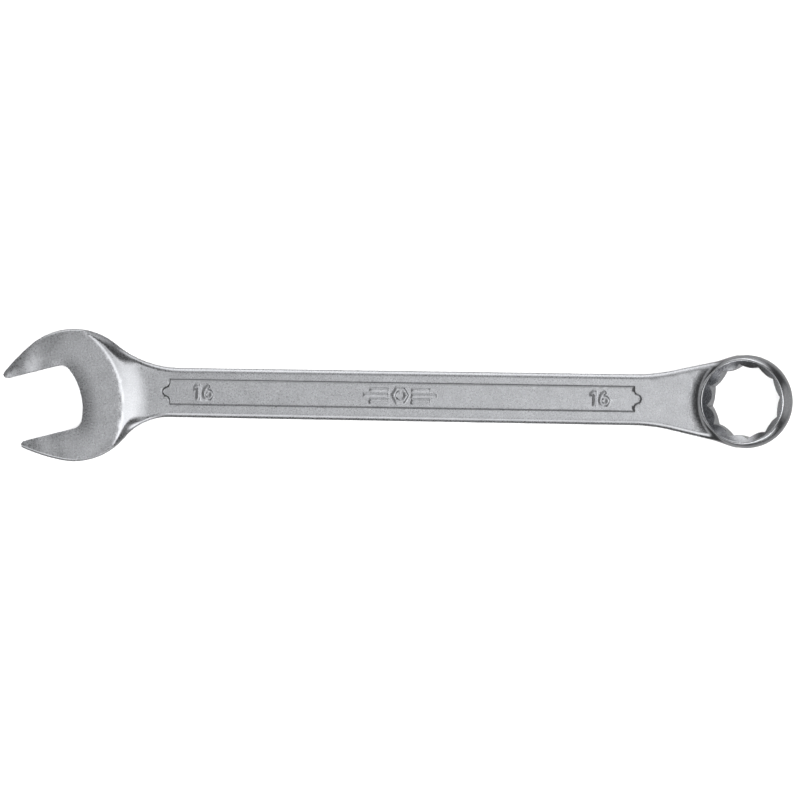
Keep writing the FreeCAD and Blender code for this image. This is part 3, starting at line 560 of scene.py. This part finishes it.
def spread_along():
    """Places along X, close together except where the shank is plain."""
    low, high = HEAD[0] - NOSE_REACH, RING[0] + BARREL_RADIUS + 2 * MARGIN
    stops = [np.empty(0)]
    at = low
    for start, end in PLAIN_STRETCHES:
        stops.append(np.arange(at, start, PITCH))
        stops.append(np.arange(start, end, PLAIN_PITCH))
        at = end
    stops.append(np.arange(at, high, PITCH))
    return np.concatenate(stops).astype(np.float32)


def evaluate(points):
    x, y, z = points.T
    return solid(x, y, z, plan(x, y))


def slopes(points):
    """The solid's gradient at each point, by small steps along the three axes."""
    found = np.empty_like(points)
    for axis in range(3):
        nudge = np.zeros(3, points.dtype)
        nudge[axis] = NUDGE
        found[:, axis] = evaluate(points + nudge) - evaluate(points - nudge)
    return found / (2 * NUDGE)


def painted_light_and_ground(points):
    """What the finish depends on, at each point: painted shade in the creases, painted highlights
    on the ring's rim and the face's arc, and the ground ring.
    """
    x, y, z = points.T
    panel_y = np.where(z > 0, y, -y) - PANEL_OFFSET
    near_top = np.abs(z) > SHANK_HALF - 2 * PANEL_DEPTH
    # painted shade: darker colour along the panel's walls and the flanks of the raised marks
    wall = np.exp(-(PANEL.distance(x, panel_y) / PAINTED_SHADE_WIDTH) ** 2)
    flank = 1 - (2 * marks(x, panel_y, True) - 1) ** 2
    painted_crease_shade = np.maximum(wall, np.where(z > 0, MARK_PAINTED_SHADE * flank, 0)) * near_top

    px, pz = x - RING[0], z - RING[2]
    height = pz * math.cos(RING_TILT) - px * math.sin(RING_TILT)
    radius = np.hypot(px * math.cos(RING_TILT) + pz * math.sin(RING_TILT), y)
    off_rim = np.hypot(radius - (RIM_RADIUS + LEAD_IN_RADIUS) / 2, np.abs(height) - RING_HALF)
    face_x, face_y = polar(HEAD, FACE_OFFSET, JAW_ANGLE + 180)
    off_arc = np.hypot(x - face_x, y - face_y) - FACE_RADIUS
    on_face = np.abs(z) > HEAD_HALF - FACE_EDGE
    # painted highlight: brighter colour along the ring's rim and the arc round the head's face
    painted_ridge_highlight = np.exp(-(off_rim / RIM_HIGHLIGHT_WIDTH) ** 2)
    painted_ridge_highlight = np.maximum(painted_ridge_highlight, ARC_SHARE * np.exp(-(off_arc / ARC_HIGHLIGHT_WIDTH) ** 2) * on_face)
    return {"painted_crease_shade": painted_crease_shade, "painted_ridge_highlight": painted_ridge_highlight, "from_ring": np.hypot(px, y)}


def mesh_forging():
    """Points and faces of the forging's surface, with the normal at each point."""
    xs = spread_along()
    ys = np.arange(HEAD[1] - HEAD_RADIUS - MARGIN, HEAD_RADIUS + MARGIN, PITCH, dtype=np.float32)
    zs = np.arange(*HEIGHTS, PITCH, dtype=np.float32)
    x, y = np.meshgrid(xs, ys, indexing="ij")
    fields = [field[:, :, None] for field in plan(x, y)]
    values = solid(x[:, :, None], y[:, :, None], zs[None, None, :], fields)
    band = 3 * PITCH
    grid = openvdb.FloatGrid(band)
    grid.copyFromArray(np.clip(values, -band, band).astype(np.float32), tolerance=1e-6)
    places, triangles, quads = grid.convertToPolygons(0.0, ADAPTIVITY)
    points = np.stack([np.interp(places[:, axis], np.arange(len(line)), line)
                       for axis, line in enumerate((xs, ys, zs))], axis=1)
    for _ in range(SNAPS):
        slope = slopes(points)
        size2 = np.maximum((slope**2).sum(1), WEAK_SLOPE2)
        move = (evaluate(points) / size2)[:, None] * slope
        points -= np.clip(move, -PITCH / 2, PITCH / 2)
    normals = slopes(points)
    normals /= np.linalg.norm(normals, axis=1, keepdims=True)
    return points, triangles, quads, normals


# ---------------------------------------------------------------- material

# features per metre, and lengths in millimetres
GRAIN_SCALE = 2600.0
CLOUD_SCALE = 260.0
JAG_SCALE = 900.0
JAG_REACH = 0.35
GROUND_RADIUS = 14.6
# the painted shade in the creases darkens the colour to this share
PAINTED_SHADE_TONE = 0.3
# the painted highlight on the ridges brightens the colour by this share
PAINTED_HIGHLIGHT_TONE = 1.6
GROUND_TONE = 0.85
CHROME = (0.65, 0.66, 0.685)
# each ramp: value from, value to, result from, result to
GRAIN_TONES = (0.38, 0.74, 0.94, 1.22)
CLOUD_TONES = (0.3, 0.7, 0.95, 1.04)
GRAIN_ROUGHNESS = (0.3, 0.7, 0.26, 0.36)
GROUND_POLISH = 0.12
GROUND_EDGE = 0.3
BUMP_STRENGTH = 0.25
BUMP_DEPTH = 0.00005


class Nodes:
    """A node tree built by short calls: each returns the new node's first output."""

    def __init__(self, tree):
        self.tree = tree
        tree.nodes.clear()

    def add(self, kind, inputs=(), output=0, **settings):
        node = self.tree.nodes.new(kind)
        for name, value in settings.items():
            setattr(node, name, value)
        for key, value in dict(inputs).items():
            socket = node.inputs[key]
            if isinstance(value, bpy.types.NodeSocket):
                self.tree.links.new(value, socket)
            else:
                socket.default_value = value
        return node.outputs[output] if node.outputs else None

    def math(self, operation, a, b=0.0):
        return self.add("ShaderNodeMath", {0: a, 1: b}, operation=operation)

    def noise(self, where, scale, detail=2.0, roughness=0.5):
        inputs = {"Vector": where, "Scale": scale, "Detail": detail, "Roughness": roughness}
        return self.add("ShaderNodeTexNoise", inputs)

    def ramp(self, value, low, high, start=0.0, end=1.0):
        inputs = {"Value": value, "From Min": low, "From Max": high, "To Min": start, "To Max": end}
        return self.add("ShaderNodeMapRange", inputs, interpolation_type="SMOOTHSTEP")


def satin_chrome():
    """Chrome over a blasted forging: fine grain, painted shade in the creases, painted highlights
    on the rim and the face's arc, ground ring.
    """
    material = bpy.data.materials.new("satin_chrome")
    material.use_nodes = True
    nodes = Nodes(material.node_tree)
    where = nodes.add("ShaderNodeTexCoord", output=3)
    painted_crease_shade, painted_ridge_highlight, from_ring = (nodes.add("ShaderNodeAttribute", output=2, attribute_name=name)
                                for name in ("painted_crease_shade", "painted_ridge_highlight", "from_ring"))
    grain = nodes.noise(where, GRAIN_SCALE, 2.0, 0.7)
    cloud = nodes.noise(where, CLOUD_SCALE, 3.0, 0.6)

    # the grinding wheel's ragged edge, round the ring
    jag = nodes.ramp(nodes.noise(where, JAG_SCALE, 2.0), 0.3, 0.7, -JAG_REACH, JAG_REACH)
    reach = nodes.math("ADD", from_ring, jag)
    ground = nodes.ramp(reach, GROUND_RADIUS, GROUND_RADIUS - GROUND_EDGE)
    satin = nodes.math("SUBTRACT", 1.0, ground)

    height = nodes.math("MULTIPLY", grain, satin)
    inputs = {"Height": height, "Strength": BUMP_STRENGTH, "Distance": BUMP_DEPTH}
    bump = nodes.add("ShaderNodeBump", inputs)
    tone = nodes.ramp(grain, *GRAIN_TONES)
    tone = nodes.math("MULTIPLY", tone, nodes.ramp(cloud, *CLOUD_TONES))
    # painted shade in the panel's creases and beside the marks
    tone = nodes.math("MULTIPLY", tone, nodes.ramp(painted_crease_shade, 0.0, 1.0, 1.0, PAINTED_SHADE_TONE))
    # painted highlight on the ring's rim and the head's face arc
    tone = nodes.math("MULTIPLY", tone, nodes.ramp(painted_ridge_highlight, 0.0, 1.0, 1.0, PAINTED_HIGHLIGHT_TONE))
    tone = nodes.math("MULTIPLY", tone, nodes.ramp(ground, 0.0, 1.0, 1.0, GROUND_TONE))
    colour = nodes.add("ShaderNodeVectorMath", {0: CHROME, 3: tone}, operation="SCALE")
    rough = nodes.ramp(grain, *GRAIN_ROUGHNESS)
    rough = nodes.math("SUBTRACT", rough, nodes.ramp(ground, 0.0, 1.0, 0.0, GROUND_POLISH))
    inputs = {"Base Color": colour, "Metallic": 1.0, "Roughness": rough, "Normal": bump}
    surface = nodes.add("ShaderNodeBsdfPrincipled", inputs)
    nodes.add("ShaderNodeOutputMaterial", {"Surface": surface})
    return material


# ---------------------------------------------------------------- the finished piece


def add_wrench():
    points, triangles, quads, normals = mesh_forging()
    turn = np.array(FORGING_TO_ROW)
    places = points @ turn[:3, :3].T + turn[:3, 3]
    facing = normals @ (turn[:3, :3].T / METRE)
    mesh = bpy.data.meshes.new("wrench")
    mesh.from_pydata(places.tolist(), [], triangles.tolist() + quads.tolist())
    mesh.validate()
    mesh.shade_smooth()
    mesh.normals_split_custom_set_from_vertices(facing.tolist())
    for name, values in painted_light_and_ground(points).items():
        layer = mesh.attributes.new(name, "FLOAT", "POINT")
        layer.data.foreach_set("value", values.astype(np.float32))
    piece = bpy.data.objects.new("wrench", mesh)
    bpy.context.scene.collection.objects.link(piece)
    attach(piece, "root")
    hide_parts("wrench_body")
    return piece


wrench = add_wrench()
wrench.data.materials.append(satin_chrome())

# ---------------------------------------------------------------- floor, light and camera

FLOOR_SIDE = 12.0
FLOOR_COLOUR = (0.9, 0.9, 0.9)
FLOOR_ROUGHNESS = 0.7
TOP_LIGHT = 6.0
TOP_SPREAD = math.radians(50)
CAMERA_LENS = 600.0
SENSOR = 36.0
FRAME_WIDTH = 0.199
SIDE_BOX = 1.0
SIDE_BOX_EDGE = -0.02
SIDE_BOX_HEIGHT = 1.0
SIDE_BOX_RADIANCE = 0.4
CAMERA_ROLL = math.radians(0.91)
LOOK_AT = (0.0, -0.97, SHANK_HALF)


def plain_material(name, colour, roughness):
    material = bpy.data.materials.new(name)
    material.use_nodes = True
    nodes = Nodes(material.node_tree)
    inputs = {"Base Color": (*colour, 1.0), "Roughness": roughness}
    surface = nodes.add("ShaderNodeBsdfPrincipled", inputs)
    nodes.add("ShaderNodeOutputMaterial", {"Surface": surface})
    return material


def add_floor():
    half = FLOOR_SIDE / 2
    mesh = bpy.data.meshes.new("floor")
    corners = [(-half, -half, 0), (half, -half, 0), (half, half, 0), (-half, half, 0)]
    mesh.from_pydata(corners, [], [(0, 1, 2, 3)])
    mesh.materials.append(plain_material("pale_floor", FLOOR_COLOUR, FLOOR_ROUGHNESS))
    floor = bpy.data.objects.new("floor", mesh)
    bpy.context.scene.collection.objects.link(floor)
    floor.visible_glossy = False


# azimuth from +X towards +Y, angle from straight up, half width, softness, radiance;
# a radiance below zero takes light away, as a black card would
BOXES = (
    (0, 26, 16, 12, 0.92),
    (-100, 56, 17, 12, 1.1),
    (90, 104, 26, 14, 1.2),
    (-62, 102, 16, 10, 1.8),
    (95, 58, 18, 12, 0.35),
    (0, 118, 18, 10, 0.36),
    (0, 180, 40, 12, 0.32),
    (180, 34, 24, 12, -0.42),
    (50, 56, 28, 12, -1.2),
    (-55, 56, 23, 10, -1.2),
)
UP_LIGHT = 0.42
DOWN_LIGHT = 0.06
# the height of a direction, where the room's light changes from down to up
HORIZON = (-0.2, 0.3)


def soft_world():
    """Soft boxes and dark cards in a grey room, drawn on the world by direction."""
    world = bpy.data.worlds.new("studio")
    world.use_nodes = True
    nodes = Nodes(world.node_tree)
    where = nodes.add("ShaderNodeTexCoord", output=0)
    up = nodes.add("ShaderNodeSeparateXYZ", {0: where}, output=2)
    light = nodes.ramp(up, *HORIZON, DOWN_LIGHT, UP_LIGHT)
    for azimuth, fall, half, soft, radiance in BOXES:
        turn, fall = math.radians(azimuth), math.radians(fall)
        aim = (math.cos(turn) * math.sin(fall), math.sin(turn) * math.sin(fall), math.cos(fall))
        facing = nodes.add("ShaderNodeVectorMath", {0: where, 1: aim}, 1, operation="DOT_PRODUCT")
        edge, core = math.cos(math.radians(half + soft)), math.cos(math.radians(half - soft))
        box = nodes.ramp(facing, edge, core, 0.0, radiance)
        light = nodes.math("ADD", light, box)
    light = nodes.math("MAXIMUM", light, DOWN_LIGHT)
    colour = nodes.add("ShaderNodeCombineColor", {"Red": light, "Green": light, "Blue": light})
    background = nodes.add("ShaderNodeBackground", {"Color": colour, "Strength": 1.0})
    nodes.add("ShaderNodeOutputWorld", {"Surface": background})
    bpy.context.scene.world = world


def add_top_light():
    """A broad light from straight above for the floor, which the metal doesn't mirror."""
    data = bpy.data.lights.new("top_light", "SUN")
    data.energy = TOP_LIGHT
    data.angle = TOP_SPREAD
    light = bpy.data.objects.new("top_light", data)
    bpy.context.scene.collection.objects.link(light)
    light.location = (0, 0, 1)
    light.visible_glossy = False


def add_side_box():
    """A large soft box above the ring end, which brightens that end of the flat faces."""
    data = bpy.data.lights.new("side_box", "AREA")
    data.shape = "SQUARE"
    data.size = SIDE_BOX
    data.energy = SIDE_BOX_RADIANCE * math.pi * SIDE_BOX**2
    light = bpy.data.objects.new("side_box", data)
    bpy.context.scene.collection.objects.link(light)
    light.location = (SIDE_BOX / 2 + SIDE_BOX_EDGE, 0, SIDE_BOX_HEIGHT)


def add_camera():
    data = bpy.data.cameras.new("camera")
    data.lens = CAMERA_LENS
    data.sensor_width = SENSOR
    camera = bpy.data.objects.new("camera", data)
    bpy.context.scene.collection.objects.link(camera)
    distance = FRAME_WIDTH * CAMERA_LENS / SENSOR
    target = FORGING_TO_ROW @ Vector(LOOK_AT)
    turn = Matrix.Rotation(CAMERA_ROLL, 4, "Z")
    camera.matrix_world = Matrix.Translation(target) @ turn @ Matrix.Translation((0, 0, distance))
    bpy.context.scene.camera = camera


add_floor()
soft_world()
add_top_light()
add_side_box()
add_camera()
bpy.context.scene.view_settings.view_transform = "Standard"
